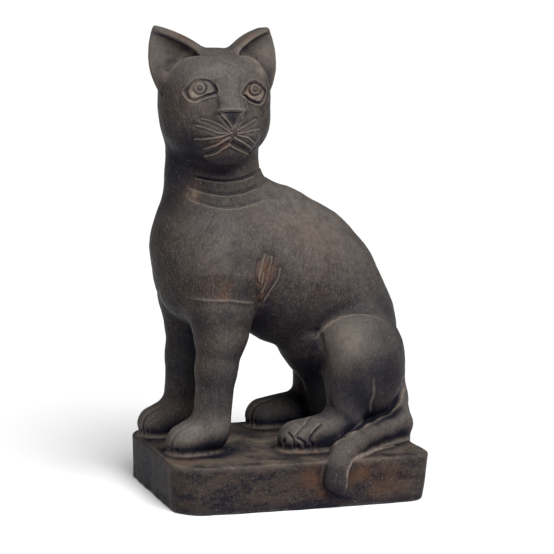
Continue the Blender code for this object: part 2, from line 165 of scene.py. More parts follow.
def mirrored(stations, side, ahead=0.0):
    return [(x - ahead, y * side, z, r) for x, y, z, r in stations]


def toFigure(points):
    return (points - standsAt) / mm


def gaze():
    turn = math.radians(statue["headTurn"])
    ahead = np.array([-math.cos(turn), -math.sin(turn), 0.0])
    return np.array([-ahead[1], ahead[0], 0.0]), ahead


def toHead(q):
    # across to its left, forward, and up
    left, ahead = gaze()
    up = np.array([0.0, 0.0, 1.0])
    tilt = math.radians(statue["headTilt"])
    across = math.cos(tilt) * left - math.sin(tilt) * up
    above = math.sin(tilt) * left + math.cos(tilt) * up
    return (q - np.array(statue["headAt"])) @ np.stack([across, ahead, above]).T


# The head's own millimetres: across to its left, forward and up from its middle.
ears = {
    "tip": (74.0, -20.0, 96.5),
    "inner": (14.0, 20.0, 65.0),
    "outer": (68.0, -8.0, 12.0),
    "bows": (190.0, 90.0, 130.0),  # radii of the bowed edges: along the skull, outside, and below
    "leans": (0.5, 6.0),  # how far the right and the left tip lean in
    "round": 7.0,
    "half": 5.0,  # of the blade's thickness at its edge
    "rims": (6.0, 4.0),  # the right and the left roll along the inner edge
    "deep": 11.0,
    "slope": 5.0,  # width of the wall from the roll down into the hollow
    "runsOut": 32.0,  # the hollow grows shallow this far from the outer edge
    "seam": [(38, 67), (44, 64), (50, 61), (57, 52), (61, 43), (68, 29)],  # dusty, where it meets the skull
    "seamRub": (0.45, 2.2),
}


def folded(h):
    lean = np.where(h[:, 0] < 0, *ears["leans"]) * np.clip((h[:, 2] - 40.0) / 56.0, 0.0, 1.2)
    return np.stack([np.abs(h[:, 0]) + lean, h[:, 1], h[:, 2]], axis=1)


def earPlan(h):
    # depths inside the ear's three edges, in its own plane, and height over that plane
    corners = [np.array(ears[name]) for name in ("inner", "tip", "outer")]
    along = corners[1] - corners[0]
    along /= np.linalg.norm(along)
    out = np.cross(corners[2] - corners[0], along)
    out /= np.linalg.norm(out) * np.sign(out[1])
    up = np.cross(out, along)
    flat = [np.array([(c - corners[0]) @ along, (c - corners[0]) @ up]) for c in corners]
    rel = h - corners[0]
    spot = np.stack([rel @ along, rel @ up], axis=1)
    middle = sum(flat) / 3.0
    depths = []
    for first, last, bow in zip(flat, flat[1:] + flat[:1], ears["bows"]):
        edge = last - first
        normal = np.array([-edge[1], edge[0]]) / np.linalg.norm(edge)
        if (middle - first) @ normal < 0:
            normal = -normal
        centre = (first + last) / 2 + normal * math.sqrt(bow**2 - edge @ edge / 4)
        depths.append(bow - lengths(spot - centre))
    return depths, rel @ out


def ear(h):
    (skullSide, outer, below), height = earPlan(h)
    plan = smoothMax(smoothMax(-skullSide, -outer, 3.0), -below, 3.0)
    half = ears["half"] + 0.25 * np.clip(-plan, 0.0, 30.0) * (height < 0)
    return smoothMax(plan + ears["round"], np.abs(height) - half, 6.0) - ears["round"]


# Round forms: middle, radii and, where it has one, the power that fills their corners.
skull = {
    "cranium": ((0, -4, 2), (70, 66, 68), 2.6),
    "jowls": ((0, 8, -28), (64, 66, 46)),
    "muzzleOff": 3.0,  # the muzzle sits this far to the head's left
    "nose": [(4, 45, 24, 14.5), (4, 72, -8, 14), (3, 76, -25, 9)],  # stations of its ridge on either side
    "pads": ((13, 62, -37), (25, 25, 19)),
    "chin": ((0, 54, -57), (27, 22, 17)),
    "eyes": (((-32.3, 47, 22.0), (18, 12, 14)), ((37.0, 47, 20.5), (18, 12, 14))),
    "blends": {"jowls": 14.0, "nose": 10.0, "pads": 12.0, "chin": 16.0, "ears": 5.0, "eyes": 5.0},
}


def head(q):
    h = toHead(q)
    blend = skull["blends"]
    found = smoothMin(ellipsoid(h, *skull["cranium"]), ellipsoid(h, *skull["jowls"]), blend["jowls"])
    muzzle = h - np.array([skull["muzzleOff"], 0.0, 0.0])
    muzzle[:, 0] = np.abs(muzzle[:, 0])
    found = smoothMin(found, limb(muzzle, skull["nose"]), blend["nose"])
    found = smoothMin(found, ellipsoid(muzzle, *skull["pads"]), blend["pads"])
    found = smoothMin(found, ellipsoid(h, *skull["chin"]), blend["chin"])
    found = smoothMin(found, ear(folded(h)), blend["ears"])
    for eye in skull["eyes"]:
        found = smoothMin(found, ellipsoid(h, *eye), blend["eyes"])
    return found


def figure(q):
    blend, slim = statue["blends"], statue["slim"]
    found = limb(q, statue["neck"], k=8.0, flat=slim["neck"])
    found = smoothMin(found, limb(q, statue["back"], k=8.0, flat=slim["back"]), blend["back"])
    found = smoothMin(found, limb(q, statue["belly"], flat=slim["belly"]), blend["belly"])
    spread = statue["pawSpread"]
    for side in (1, -1):
        ahead, back, near = (0.0, 0.0, 0.0) if side > 0 else (statue["farLegAhead"], *statue["farShin"])
        leg = limb(q, mirrored(statue["frontLeg"], side, ahead), k=10.0)
        paw = limb(q, mirrored(statue["frontPaw"], side, ahead), flat=spread)
        found = smoothMin(found, smoothMin(leg, paw, blend["frontPaw"]), blend["frontLeg"])
        # the thigh follows the shin back only part of the way
        (x, y, z), (thick, wide, high) = statue["thigh"]
        beside = q + np.array([0.0, near, 0.0])
        haunch = ellipsoid(beside, (x + 0.6 * back, y * side, z), (thick - 0.4 * back, wide, high))
        haunch = smoothMin(haunch, limb(beside, mirrored(statue["shin"], side, -back)), blend["shin"])
        haunch = smoothMin(haunch, limb(beside, mirrored(statue["hip"], side)), blend["hip"])
        foot = limb(beside, mirrored(statue["hindFoot"], side, -0.9 * back), flat=spread)
        found = smoothMin(found, smoothMin(haunch, foot, blend["hindFoot"]), blend["hindLeg"])
    return smoothMin(found, head(q), blend["head"])


def nearSide(x):
    # the plinth's near long side bows out a little and widens towards the rump
    share = x / (plinthLength / 2)
    return plinthWidth / 2 + statue["plinthFlare"] * share - statue["plinthBow"] * share**2


def plinth(points):
    x, y, z = points.T
    drawn = np.where(x < 0, *statue["plinthDraw"]) * np.clip(1.0 - z / plinthHeight, 0.0, 1.0)
    halfX = plinthLength / 2 - drawn
    halfY = np.where(y < 0, nearSide(np.clip(x, -halfX, halfX)), plinthWidth / 2)
    front, rear = statue["frontCorners"], statue["rearCorners"]
    radius = np.where(x < 0, np.where(y < 0, *front), np.where(y < 0, *rear))
    dx, dy = np.abs(x) - halfX + radius, np.abs(y) - halfY + radius
    plan = np.minimum(np.maximum(dx, dy), 0) + np.hypot(np.maximum(dx, 0), np.maximum(dy, 0)) - radius
    edge = statue["plinthEdge"]
    a, b = plan + edge, z - plinthHeight + edge
    block = np.minimum(np.maximum(a, b), 0) + np.hypot(np.maximum(a, 0), np.maximum(b, 0)) - edge
    return smoothMax(block, -z, statue["plinthFoot"])


def tailStations():
    # round the rump, aslant over the plinth's top and down its near side
    r, top = statue["tailRadius"], plinthHeight
    end, edge = plinthLength / 2, -nearSide(0.045)
    rump = [(153, 0, 125, 1.33), (167, -6, 85, 1.39), (167, -24, 47, 1.26)]
    onRump = [(*(standsAt + np.array((x, y, z)) * mm), share * r) for x, y, z, share in rump]
    return onRump + [
        (end - 0.012, edge + 0.098, top + 0.021, 1.05 * r),
        (end - 0.044, edge + 0.082, top + 0.016, 1.00 * r),
        (end - 0.071, edge + 0.060, top + 0.0145, 0.95 * r),
        (end - 0.100, edge + 0.030, top + 0.0125, 0.92 * r),
        (end - 0.121, edge + 0.011, top + 0.007, 0.94 * r),
        (end - 0.132, edge, 0.86 * top, 0.96 * r),
        (end - 0.135, edge - 0.002, 0.61 * top, 0.92 * r),
        (end - 0.128, edge, 0.42 * top, 0.50 * r),
        (end - 0.122, edge + 0.002, 0.32 * top, 0.22 * r),
    ]


def tail(points):
    stations = tailStations()
    bed = [(x, y + 0.3 * r, plinthHeight, r) for x, y, _, r in stations[3:8]]  # stone left standing under it
    k = statue["tailBlend"]
    return smoothMin(limb(points, stations, k), limb(points, bed, k), k)


def form(points):
    # distance to the whole block without its carving
    found = smoothMin(figure(toFigure(points)) * mm, plinth(points), statue["fillet"])
    return smoothMin(found, tail(points), statue["tailFillet"])


def curve(path, closed=False, steps=4):
    # a smooth line through the path's points
    p = np.array(path, float)
    ends = (p[-1:], p[:2]) if closed else (p[:1], p[-1:])
    p = np.concatenate([ends[0], p, ends[1]])
    found = []
    for a, b, c, d in zip(p, p[1:], p[2:], p[3:]):
        square, cube = 2 * a - 5 * b + 4 * c - d, 3 * b - a - 3 * c + d
        for t in np.arange(steps) / steps:
            found.append(0.5 * (2 * b + (c - a) * t + square * t**2 + cube * t**3))
    found.append(p[-2])
    return found


def lineDistance(q, path):
    found = np.full(len(q), np.inf)
    for a, b in zip(path, path[1:]):
        along = b - a
        rel = q - a
        t = np.clip(rel @ along / (along @ along), 0.0, 1.0)
        found = np.minimum(found, lengths(rel - t[:, None] * along))
    return found


def signedDistance(q, path):
    # negative inside a closed path
    inside = np.zeros(len(q), bool)
    for a, b in zip(path, path[1:]):
        if a[1] != b[1]:
            spans = (a[1] > q[:, 1]) != (b[1] > q[:, 1])
            inside ^= spans & (q[:, 0] < a[0] + (q[:, 1] - a[1]) * (b[0] - a[0]) / (b[1] - a[1]))
    return np.where(inside, -1.0, 1.0) * lineDistance(q, path)


# Millimetres across and up on the head. The carver cut each side by eye, so no two lines mirror each other.
# A cut is its depth and half width, and a rub how pale an edge is worn and over what half width.
face = {
    "lids": [
        [(-50, 17), (-46.5, 24.5), (-42, 29.5), (-37, 32), (-29.5, 32.5), (-22, 31), (-17, 27), (-13.5, 19),
         (-18, 14.5), (-25, 12.5), (-33, 9), (-39, 6.5), (-43.5, 7.5), (-47, 10.5)],
        [(20.5, 15.5), (26.5, 23.5), (30.5, 28), (37.5, 30.5), (44, 27.5), (49.5, 22), (52.5, 16), (48.5, 6),
         (42.5, 3.5), (36.5, 5), (30.5, 7.5), (25, 11.5)],
    ],
    "irises": [(-34, 22), (37.5, 21)],
    "irisRadius": 8.0,
    "pupilRadius": 3.2,
    "bridge": [
        [(-16, 30), (-15, 20), (-14.5, 10), (-15.5, -1.5)],
        [(19, 30), (18.5, 22.5), (17, 8.5), (15.5, -1)],
    ],
    "tear": [(21, 13), (24.5, 3), (27, -4.5)],
    "noseTop": [(-14.5, -4), (-9, -2.5), (-0.5, -2), (10, -2), (18.5, -3.5)],
    "noseLeather": [(-11, -6), (2, -5), (15, -5.5), (10, -12.5), (3.5, -22.5), (0, -22), (-6, -13.5)],
    "nostrils": [
        [(-14.5, -9), (-6, -19.5), (0, -25)],
        [(20.5, -8), (21.5, -12), (13, -17), (5, -24)],
    ],
    "noseWings": [
        [(-12, -9.5), (-2.5, -18), (1, -23)],
        [(16, -12.5), (9, -19.5), (4, -24)],
    ],
    "whiskers": [
        [(-2, -30), (-9, -25.5), (-15, -21.5), (-23, -18), (-32, -16)],
        [(-4, -32), (-17.5, -31.5), (-22, -29.5), (-30, -26.5), (-38, -24.5)],
        [(1, -31.5), (-11.5, -36), (-22, -38.5), (-31, -40), (-39, -41)],
        [(-1, -37.5), (-9, -41.5), (-15.5, -46), (-22, -49.5), (-29, -53)],
        [(0, -45.5), (-4, -49), (-8.5, -51.5), (-12.5, -55.5), (-20, -60), (-26.5, -62)],
        [(8, -28.5), (15.5, -25), (23.5, -21.5), (37.5, -17)],
        [(8, -32), (19, -31), (28, -29), (42, -28.5)],
        [(8, -34), (15, -36), (22, -37.5), (30, -43.5), (36, -47)],
        [(5, -38), (12, -41.5), (20, -46), (30, -52)],
        [(0.5, -47.5), (8.5, -52), (18.5, -56), (30, -61), (37, -64)],
    ],
    "mouth": [
        [(-2, -43), (-9, -47.5), (-17, -54), (-25, -58)],
        [(2.5, -43.5), (10, -47.5), (20, -52.5), (30, -57)],
    ],
    "philtrum": [(3, -25.5), (2.5, -31.5), (1.5, -40), (0, -47)],
    "cuts": {
        "lid": (2.6, 1.5),
        "lidRim": (1.3, 1.3),
        "iris": (2.0, 1.2),
        "pupil": (1.1, 0.9),
        "bridge": (1.7, 2.3),
        "tear": (0.8, 1.4),
        "noseTop": (1.2, 1.3),
        "nostrils": (2.2, 1.3),
        "noseWings": (0.8, 1.0),
        "whiskerBeds": (2.1, 3.0),
        "whiskers": (3.5, 1.15),
        "mouth": (1.8, 1.8),
        "philtrum": (1.4, 2.2),
    },
    "leatherDeep": 2.8,
    "whiteProud": 0.7,
    "rubs": {
        "iris": (0.5, 1.5),
        "tear": (0.4, 1.2),
        "noseTop": (0.45, 1.1),
        "noseWings": (0.6, 0.9),
        "whiskers": (0.50, 1.2),
    },
}


def groove(distance, depth, width):
    return depth * np.exp(-np.square(distance / width))


def nearest(q, paths):
    return np.min([lineDistance(q, curve(path)) for path in paths], axis=0)


def eyeCarving(q, lid, iris):
    cuts = face["cuts"]
    rim = signedDistance(q, curve(lid, closed=True))
    inside = ramp(-rim, 0.4, 1.6)
    fromIris = lengths(q - np.array(iris))
    low = 1.0 - ramp(q[:, 1], iris[1] - 8.0, iris[1] - 1.0)
    white = ramp(-rim, 1.8, 3.2) * ramp(fromIris, 9.0, 10.5)
    cut = groove(rim + 0.5, *cuts["lid"]) - groove(rim - 2.6, *cuts["lidRim"]) * (0.25 + 0.75 * low)
    cut += inside * groove(fromIris - face["irisRadius"], *cuts["iris"])
    cut += inside * groove(fromIris - face["pupilRadius"], *cuts["pupil"])
    pale = np.maximum(groove(rim - 2.4, 0.12 + 0.35 * low, 1.1), white * (0.2 + 0.8 * low))
    pale += inside * groove(fromIris - 0.7 * face["irisRadius"], *face["rubs"]["iris"])
    return cut - face["whiteProud"] * white, pale


def faceCarving(h):
    # depth cut, and how far each spot is rubbed pale
    cuts, rubs = face["cuts"], face["rubs"]
    front = ramp(h[:, 1], 20.0, 40.0)
    depth, worn = np.zeros(len(h)), np.zeros(len(h))
    reach = (front > 0) & (h[:, 2] > -75.0) & (h[:, 2] < 45.0) & (np.abs(h[:, 0]) < 62.0)
    q = h[reach][:, [0, 2]]
    cut, pale = np.zeros(len(q)), np.zeros(len(q))
    for lid, iris in zip(face["lids"], face["irises"]):
        eyeCut, eyePale = eyeCarving(q, lid, iris)
        cut, pale = cut + eyeCut, pale + eyePale
    for name in ("bridge", "nostrils", "mouth"):
        cut += groove(nearest(q, face[name]), *cuts[name])
    hairs, wings = nearest(q, face["whiskers"]), nearest(q, face["noseWings"])
    tear, top, philtrum = [lineDistance(q, curve(face[name])) for name in ("tear", "noseTop", "philtrum")]
    leather = signedDistance(q, curve(face["noseLeather"], closed=True))
    cut += face["leatherDeep"] * ramp(-leather, -0.4, 2.4)
    cut += groove(hairs, *cuts["whiskerBeds"]) - groove(hairs, *cuts["whiskers"])
    cut -= groove(tear, *cuts["tear"]) + groove(top, *cuts["noseTop"])
    cut -= groove(wings, *cuts["noseWings"]) + groove(philtrum, *cuts["philtrum"])
    pale += groove(hairs, *rubs["whiskers"]) + groove(top, *rubs["noseTop"])
    pale += groove(wings, *rubs["noseWings"]) + groove(tear, *rubs["tear"])
    depth[reach], worn[reach] = cut, pale
    return depth * front, worn * front


def earCarving(h):
    (skullSide, outer, _), height = earPlan(folded(h))
    front = ears["half"] + ears["round"]
    rim = np.where(h[:, 0] < 0, *ears["rims"])
    hollow = ramp(skullSide, rim, rim + ears["slope"]) * np.clip(outer / ears["runsOut"], 0.0, 1.0)
    hollow *= within(height, (front - 9.0, front - 3.0), (front + 2.0, front + 6.0))
    seam = lineDistance(np.abs(h[:, [0, 2]]), curve(ears["seam"]))
    shown = (h[:, 1] > -15.0) & (h[:, 2] > 0)
    return ears["deep"] * hollow, shown * groove(seam, *ears["seamRub"])


collar = {
    "lines": ((345.5, 14.0), (328.3, 19.0), (312.0, 24.0)),  # height in front, and rise to the nape
    "proud": (1.3, 1.3, 0.5),  # of the stone just under each line
    "cut": (2.2, 1.5, 1.2),
    "cutWidth": 1.7,
    "rub": (0.5, 0.9),
    "axis": -77.0,  # x of the neck's middle
    # degrees round the neck, from where the head looks towards its left
    "ends": (-28.0, -37.0, -36.0),
    "lowest": 9.0,
    "rises": 59.0,
    "faint": (46.0, 54.0),
    "gone": (110.0, 145.0),
    "chipped": ((-46.0, -38.0), (-30.0, -24.0)),
    "chippedAt": (333.0, 13.0),  # height, and half its spread
}


def collarCarving(q):
    # two bands and an edge, each proud along its top and sinking back below
    left, ahead = gaze()
    rel = q - np.array([collar["axis"], 0.0, 0.0])
    turn = np.degrees(np.arctan2(rel @ left, rel @ ahead))
    rise = 1.0 - np.exp(-np.square((np.clip(turn, -60.0, 110.0) - collar["lowest"]) / collar["rises"]))
    fade = (1.0 - ramp(turn, *collar["gone"])) * (1.0 - 0.6 * ramp(turn, *collar["faint"]))
    fade *= np.abs(q[:, 0] + 50.0) < 110.0
    depth, worn = np.zeros(len(q)), np.zeros(len(q))
    bands = zip(collar["lines"], collar["proud"], collar["cut"], collar["ends"])
    for (height, more), proud, cut, end in bands:
        above = q[:, 2] - height - more * rise
        shown = fade * ramp(turn, end - 7.0, end)
        swell = proud * within(-above, (-0.6, 0.6), (1.5, 15.0))
        depth += shown * (groove(above - 2.0, cut, collar["cutWidth"]) - swell)
        worn += shown * groove(above + 0.6, *collar["rub"]) * (1.0 - ramp(turn, 44.0, 54.0))
    height, spread = collar["chippedAt"]
    return depth, worn, within(turn, *collar["chipped"]) * groove(q[:, 2] - height, 1.0, spread)


# Millimetres in the figure. Points of two are (x, z) on both flanks; points of three are (x, y, z) on the
# left alone.
thighLines = {
    "arc": ((98.0, 111.0), (60.5, 63.5)),  # centre, radii
    "arcCut": (4.2, 1.8, 11.0),  # depth, and how far it runs out inwards and outwards
    "arcRim": (0.8, 1.6),
    "arcRub": (0.8, 1.2),
    "front": [(50, 147), (53.5, 135), (55.5, 122), (55, 108), (54, 92), (55, 72), (57, 54)],
    "frontCut": (2.6, 3.4),
    "hock": [(106.5, 97), (107.5, 84), (109, 68.5), (107, 57), (112, 39)],
    "hockBed": (1.0, 4.5),
    "hockRidge": (1.5, 2.0),
    "hockRub": (0.25, 1.8),
}


def thighCarving(side, out):
    # the edge over the thigh and down its front, and the ridge over the hock
    x, z = side.T
    flank = ramp(out, 40.0, 60.0)
    centre, radii = (np.array(pair) for pair in thighLines["arc"])
    spot = (side - centre) / radii
    rim = (lengths(spot) - 1.0) * radii.mean()
    deep, inwards, outwards = thighLines["arcCut"]
    arched = flank * ramp(spot[:, 1], 0.38, 0.58) * (1.0 - ramp(spot[:, 0], 0.1, 0.6))
    depth = arched * groove(rim, deep, np.where(rim < 0, inwards, outwards))
    depth -= arched * groove(rim + 2.6, *thighLines["arcRim"])
    worn = arched * groove(rim + 1.6, *thighLines["arcRub"]) * ramp(spot[:, 1], 0.45, 0.65)
    front = lineDistance(side, curve(thighLines["front"])) + 1.5 * (x > 55.0)  # steeper towards the thigh
    depth += flank * groove(front, *thighLines["frontCut"])
    hock = lineDistance(side, curve(thighLines["hock"]))
    behind = ramp(out, 70.0, 90.0) * within(z, (38.0, 52.0), (80.0, 97.0))
    depth += behind * (groove(hock, *thighLines["hockBed"]) - groove(hock, *thighLines["hockRidge"]))
    return depth, worn + behind * groove(hock, *thighLines["hockRub"])


armpit = {
    "ridges": [
        [(-28, 253.5), (-31, 246), (-34, 237.5), (-38, 226.5), (-36.5, 220)],
        [(-31.5, 232), (-31.5, 224.5), (-33, 217)],
        [(-19, 250), (-20, 240.5), (-23, 231), (-24.5, 222), (-27, 213.5), (-31.5, 203.5)],
        [(-7.5, 233.5), (-9, 224), (-12, 216), (-17, 208), (-22.5, 197.5), (-25.5, 191)],
    ],
    "ridgeBeds": (2.2, 4.2),
    "ridgeCut": (2.6, 1.2),
    "ridgeRub": (0.5, 1.0),
    "recess": [(-38, 247), (-41.5, 232), (-40.5, 210), (-32, 190.5)],
    "recessCut": (2.4, 2.6),
}


def armpitCarving(side, out):
    flank = ramp(out, 40.0, 60.0)
    ridges, recess = nearest(side, armpit["ridges"]), lineDistance(side, curve(armpit["recess"]))
    depth = groove(ridges, *armpit["ridgeBeds"]) - groove(ridges, *armpit["ridgeCut"])
    depth += groove(recess, *armpit["recessCut"])
    return flank * depth, flank * groove(ridges, *armpit["ridgeRub"])


sleeve = {
    "edge": [(-150, 201), (-94, 200), (-80.5, 200), (-70, 198), (-53.5, 195), (-40, 192)],
    "step": 1.1,
    "lip": (0.7, 1.4),
    "rub": (0.45, 1.3),
}


def sleeveCarving(x, z, out):
    # the stone steps in a little under a line across the foreleg
    below = np.interp(x, *zip(*sleeve["edge"])) - z
    shown = ramp(out, 25.0, 42.0) * within(x, (-130.0, -112.0), (-56.0, -42.0))
    depth = sleeve["step"] * within(below, (0.0, 2.2), (3.0, 22.0)) - groove(below + 0.8, *sleeve["lip"])
    return shown * depth, shown * groove(below, *sleeve["rub"])


# The middle's y and the tip's x, and how deep the toe lines and the claws' slots are cut.
paws = {
    "left": ((60.0, -153.0, 1.8, 2.6), (83.0, -12.0, 0.7, 0.525)),
    "right": (
        (60.0, -153.0 - statue["farLegAhead"], 3.4, 2.55),
        (83.0 - statue["farShin"][1], -12.0 + 0.9 * statue["farShin"][0], 4.2, 3.15),
    ),
    "toeWidth": 13.0,
    "toeLine": 2.2,
    "claw": 1.8,
}


def pawCarving(x, z, out, middle, tip, toeDeep, clawDeep):
    width = paws["toeWidth"]
    across = (out - middle) / width
    shown = within(z, (0.0, 4.0), (34.0, 44.0)) * within(x, (tip - 6.0, tip), (tip + 22.0, tip + 44.0))
    depth = sum(shown * groove((across - toe) * width, toeDeep, paws["toeLine"]) for toe in (-1, 0, 1))
    claw = np.abs(across - np.clip(np.round(across - 0.5), -2, 1) - 0.5) * width
    slot = within(z, (2.0, 4.0), (9.0, 12.0)) * (1.0 - ramp(x, tip + 8.0, tip + 12.0))
    return depth + slot * groove(claw, clawDeep, paws["claw"]) * (np.abs(across) < 2.2) * (x > tip - 10.0)


nearFoot = {
    "toes": [
        [
            (32, -84.5, 40.5),
            (20.5, -98, 34.5),
            (9.5, -105, 27),
            (4.5, -108, 21.5),
            (14, -111.5, 14.5),
            (16.5, -111, 5.5),
        ],
        [
            (39.5, -103.5, 34),
            (32, -107.5, 28.5),
            (27, -109.5, 24.5),
            (23, -111.5, 17),
            (26, -111.5, 10),
            (25.5, -111.5, 2.5),
        ],
        [(-3, -98, 25), (-1.5, -102, 22.5), (1, -107, 17.5), (1.5, -107.5, 6)],
    ],
    "toeCut": (2.6, 1.7),
    "edges": [
        [(30.5, -82.5, 40), (19, -96.5, 35), (6.5, -104.5, 27), (2.5, -105, 23.5)],
        [(38, -102, 35), (30, -105.5, 30.5), (24.5, -108.5, 25.5)],
        [(-14, -90, 16), (-13.5, -92.5, 10), (-12, -93.5, 4)],
    ],
    "edgeProud": (0.8, 1.3),
    "edgeRub": (0.5, 1.2),
    "claws": [(-8.5, -95.5, 12.5), (6, -109.5, 8.5), (20, -111.5, 4.5)],
    "clawCut": (2.6, 2.8),
    "clawTall": 0.6,  # width over height
}


def nearFootCarving(q):
    toes, edges = nearest(q, nearFoot["toes"]), nearest(q, nearFoot["edges"])
    tall = np.array([1.0, 1.0, nearFoot["clawTall"]])
    claws = np.min([lengths((q - np.array(claw)) * tall) for claw in nearFoot["claws"]], axis=0)
    depth = groove(toes, *nearFoot["toeCut"]) - groove(edges, *nearFoot["edgeProud"])
    return depth + groove(claws, *nearFoot["clawCut"]), groove(edges, *nearFoot["edgeRub"])


# The ridge along the tail, and the edge of the stone left standing under it.
tailLines = {
    "ridge": [
        (180, -37, 61),
        (164, -60.5, 46),
        (150.5, -70, 38),
        (126.5, -87, 33),
        (102, -108, 31),
        (71.5, -138, 29),
        (41.5, -154, 20.5),
    ],
    "ridgeProud": (0.7, 2.2),
    "ridgeRub": (0.6, 2.2),
    "ledge": [
        (138, -105, 0),
        (111, -121, 0.5),
        (81.5, -149, 1.5),
        (63, -166, 2),
        (55, -174, -3),
        (49, -180, -11),
        (48, -176.5, -31),
    ],
    "ledgeProud": (0.8, 2.0),
    "ledgeRub": (0.8, 2.0),
}


def tailCarving(q):
    ridge, ledge = [lineDistance(q, curve(tailLines[name])) for name in ("ridge", "ledge")]
    depth = groove(ridge, *tailLines["ridgeProud"]) + groove(ledge, *tailLines["ledgeProud"])
    return -depth, groove(ridge, *tailLines["ridgeRub"]) + groove(ledge, *tailLines["ledgeRub"])


def limbCarving(q):
    x, y, z = q.T
    depth, worn = np.zeros(len(q)), np.zeros(len(q))

    def add(cut, rub, where=slice(None)):
        depth[where] += cut
        worn[where] += rub

    for hand, ahead, out in (("left", 0.0, -y), ("right", statue["farLegAhead"], y)):
        add(*thighCarving(q[:, [0, 2]], out))
        add(*armpitCarving(q[:, [0, 2]], out))
        add(*sleeveCarving(x + ahead, z, out))
        for paw in paws[hand]:
            add(pawCarving(x, z, out, *paw), 0.0)
    foot = (z < 60.0) & (y < -60.0) & (np.abs(x - 14.0) < 45.0)
    add(*nearFootCarving(q[foot]), foot)
    low = z < 75.0
    add(*tailCarving(q[low]), low)
    return depth, worn


def carving(points):
    # depth in metres, and shares of rubbing and of chipping
    q = toFigure(points)
    depth, worn, chipped = collarCarving(q)
    limbDepth, limbWorn = limbCarving(q)
    depth, worn = depth + limbDepth, worn + limbWorn
    near = (q[:, 2] > 340.0) & (lengths(q - np.array(statue["headAt"])) < 135.0)
    h = toHead(q[near])
    faceDepth, faceWorn = faceCarving(h)
    earDepth, earWorn = earCarving(h)
    depth[near] += faceDepth + earDepth
    worn[near] += faceWorn + earWorn
    cat = np.minimum(figure(q) * mm, tail(points))
    away, pale, spread = statue["contactDust"]
    dusty = groove(np.maximum(cat, plinth(points)) - away, pale, spread)
    return depth * mm, worn + dusty * (points[:, 2] > plinthHeight - 0.002), chipped


def handWork(points, chipped):
    # the slight unevenness that rasps and rubbing leave, rougher along the ground, and chips at the collar
    found = np.empty(len(points))
    onFigure, onGround, fine = statue["uneven"]
    marks, fineMarks, chips = statue["perMetre"]
    broad = onFigure + (onGround - onFigure) * (1.0 - ramp(points[:, 2], *statue["alongGround"]))
    for i, p in enumerate(points.tolist()):
        spot = Vector(p)
        found[i] = broad[i] * noise.noise(spot * marks) + fine * noise.noise(spot * fineMarks)
        if chipped[i] > 0.02:
            found[i] += statue["chips"] * chipped[i] * max(0.0, noise.noise(spot * chips))
    return found


def readPoints(mesh):
    flat = np.empty(3 * len(mesh.vertices))
    mesh.vertices.foreach_get("co", flat)
    return flat.reshape(-1, 3)


def readNormals(mesh):
    flat = np.empty(3 * len(mesh.vertices))
    mesh.vertex_normals.foreach_get("vector", flat)
    return flat.reshape(-1, 3)


def writePoints(mesh, points):
    mesh.vertices.foreach_set("co", points.ravel())
    mesh.update()


def settle(block):
    evaluated = block.evaluated_get(bpy.context.evaluated_depsgraph_get())
    mesh = bpy.data.meshes.new_from_object(evaluated)
    block.modifiers.clear()
    old, block.data = block.data, mesh
    bpy.data.meshes.remove(old)


def remesh(block, size):
    modifier = block.modifiers.new("remesh", "REMESH")
    modifier.mode = "VOXEL"
    modifier.voxel_size = size
    settle(block)


def reshape(mesh, work):
    bm = bmesh.new()
    bm.from_mesh(mesh)
    work(bm)
    bm.to_mesh(mesh)
    bm.free()


def relax(mesh, rounds):
    def work(bm):
        axes = {"use_axis_x": True, "use_axis_y": True, "use_axis_z": True}
        for _ in range(rounds):
            bmesh.ops.smooth_vert(bm, verts=bm.verts, factor=0.5, **axes)

    reshape(mesh, work)


def refine(mesh):
    # halves the spacing of the points on the face, the collar, the armpit and the near hind foot
    q = toFigure(readPoints(mesh))
    h = toHead(q)
    x, y, z = q.T
    fine = (h[:, 1] > 22.0) & (h[:, 2] > -76.0) & (h[:, 2] < 48.0)
    fine |= (z > 306.0) & (z < 358.0)
    fine |= (np.abs(x + 24.0) < 24.0) & (np.abs(z - 222.0) < 38.0) & (y < -40.0)
    fine |= (np.abs(x - 12.0) < 32.0) & (z < 48.0) & (y < -68.0)

    def work(bm):
        edges = [e for e in bm.edges if fine[e.verts[0].index] and fine[e.verts[1].index]]
        bmesh.ops.subdivide_edges(bm, edges=edges, cuts=1, use_grid_fill=True)

    reshape(mesh, work)


def drawOnto(mesh, rounds, most=0.002):
    # moves the points along their normals until they lie on the form
    for _ in range(rounds):
        points = readPoints(mesh)
        move = np.clip(form(points), -most, most)
        writePoints(mesh, points - readNormals(mesh) * move[:, None])


def storeShare(mesh, name, values):
    attribute = mesh.attributes.new(name, "FLOAT", "POINT")
    attribute.data.foreach_set("value", np.clip(values, 0.0, 1.0).astype(np.float32))


def creases(mesh, rounds=3):
    # how far each point lies under its neighbours (positive in a groove), in metres
    points, normals = readPoints(mesh), readNormals(mesh)
    pairs = np.empty(2 * len(mesh.edges), np.int64)
    mesh.edges.foreach_get("vertices", pairs)
    a, b = pairs.reshape(-1, 2).T
    count = np.bincount(np.concatenate([a, b]), minlength=len(points)).astype(float)

    def around(values):
        return (np.bincount(a, values[b], len(points)) + np.bincount(b, values[a], len(points))) / count

    smooth = points.copy()
    for _ in range(rounds):
        smooth = np.stack([0.5 * smooth[:, i] + 0.5 * around(smooth[:, i]) for i in range(3)], axis=1)
    depth = ((smooth - points) * normals).sum(axis=1)
    return 0.4 * depth + 0.6 * around(depth)


def openness(mesh):
    # 1 where the stone stands free, 0 deep between its forms
    points, normals = readPoints(mesh), readNormals(mesh)
    found = np.zeros(len(points))
    for reach, share in statue["feelers"]:
        ends = points + normals * reach
        free = np.minimum(form(ends), np.maximum(ends[:, 2], 0.0) + 0.3 * reach)  # over the ground too
        found += share * np.clip(free / reach, 0.0, 1.0)
    return found


